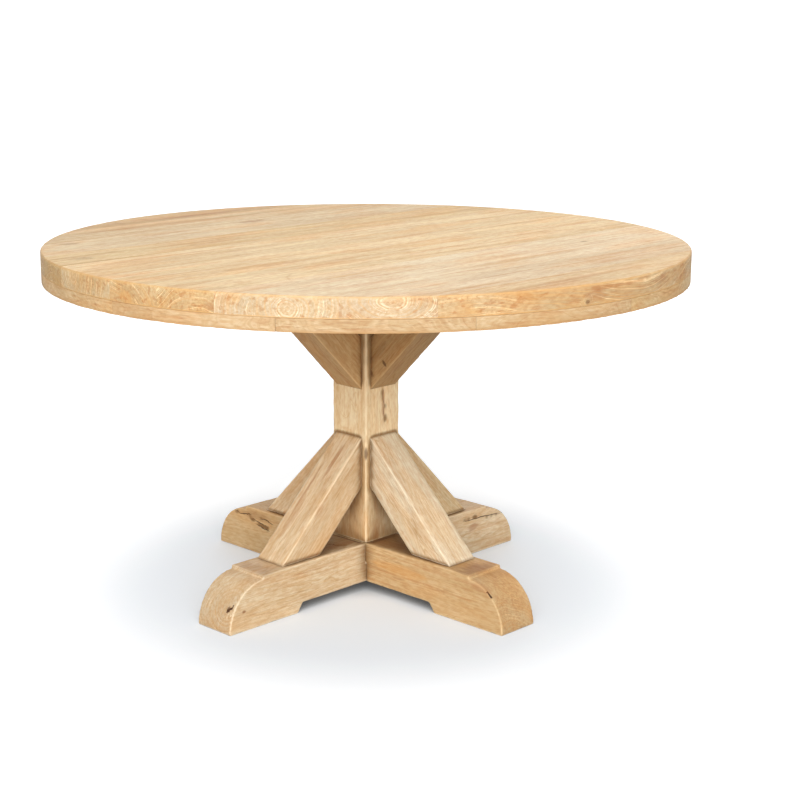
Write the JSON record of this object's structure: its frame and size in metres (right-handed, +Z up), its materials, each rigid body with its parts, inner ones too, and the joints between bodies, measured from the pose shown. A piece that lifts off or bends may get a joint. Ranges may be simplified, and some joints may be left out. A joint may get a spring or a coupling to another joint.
{
  "type": "round pedestal table",
  "caption": "Round wooden dining table: a thick plank top with a built-up rim, on a square post with angled braces and crossed base beams.",
  "frame": {"origin": "on the floor, under the middle of the top and the axis of the post", "axes": "+Z up. +X along the boards of the top and along one base beam, +Y along the other base beam"},
  "size_m": [1.3716, 1.3716, 0.762],
  "materials": {
    "top_wood": "pale bleached hardwood with a dry matt seal, open grain",
    "rim_wood": "pale bleached hardwood with a dry matt seal, each segment of its own shade",
    "base_wood": "pale bleached hardwood, matt, a little darker than the top",
    "dowel_wood": "bare turned hardwood dowel",
    "steel": "zinc-plated screws and washers"
  },
  "bodies": {
    "root": {"top_plank_01": "top_wood", "top_plank_02": "top_wood", "top_plank_03": "top_wood", "top_plank_04": "top_wood", "top_plank_05": "top_wood", "top_plank_06": "top_wood", "top_plank_07": "top_wood", "top_plank_08": "top_wood", "top_plank_09": "top_wood", "top_plank_10": "top_wood", "rim_segment_01": "rim_wood", "rim_segment_02": "rim_wood", "rim_segment_03": "rim_wood", "rim_segment_04": "rim_wood", "rim_segment_05": "rim_wood", "rim_segment_06": "rim_wood", "rim_segment_07": "rim_wood", "rim_segment_08": "rim_wood", "rim_segment_09": "rim_wood", "rim_segment_10": "rim_wood", "rim_segment_11": "rim_wood", "rim_segment_12": "rim_wood", "bearer_left_right": "base_wood", "bearer_front_back": "base_wood", "pedestal_post": "base_wood", "lower_brace_right": "base_wood", "lower_brace_back": "base_wood", "lower_brace_left": "base_wood", "lower_brace_front": "base_wood", "upper_brace_right": "base_wood", "upper_brace_back": "base_wood", "upper_brace_left": "base_wood", "upper_brace_front": "base_wood", "base_beam_left_right": "base_wood", "base_beam_front_back": "base_wood", "lower_dowel_left_right": "dowel_wood", "lower_dowel_front_back": "dowel_wood", "upper_dowel_left_right": "dowel_wood", "upper_dowel_front_back": "dowel_wood", "lower_brace_screw_right": "steel", "lower_brace_screw_back": "steel", "lower_brace_screw_left": "steel", "lower_brace_screw_front": "steel", "upper_brace_screw_right": "steel", "upper_brace_screw_back": "steel", "upper_brace_screw_left": "steel", "upper_brace_screw_front": "steel", "top_screw_right_outer": "steel", "top_screw_right_inner": "steel", "top_screw_back_outer": "steel", "top_screw_back_inner": "steel", "top_screw_left_outer": "steel", "top_screw_left_inner": "steel", "top_screw_front_outer": "steel", "top_screw_front_inner": "steel", "beam_lag_screw": "steel", "beam_lag_washer": "steel", "bearer_lag_screw": "steel", "bearer_lag_washer": "steel"}
  },
  "joints": []
}
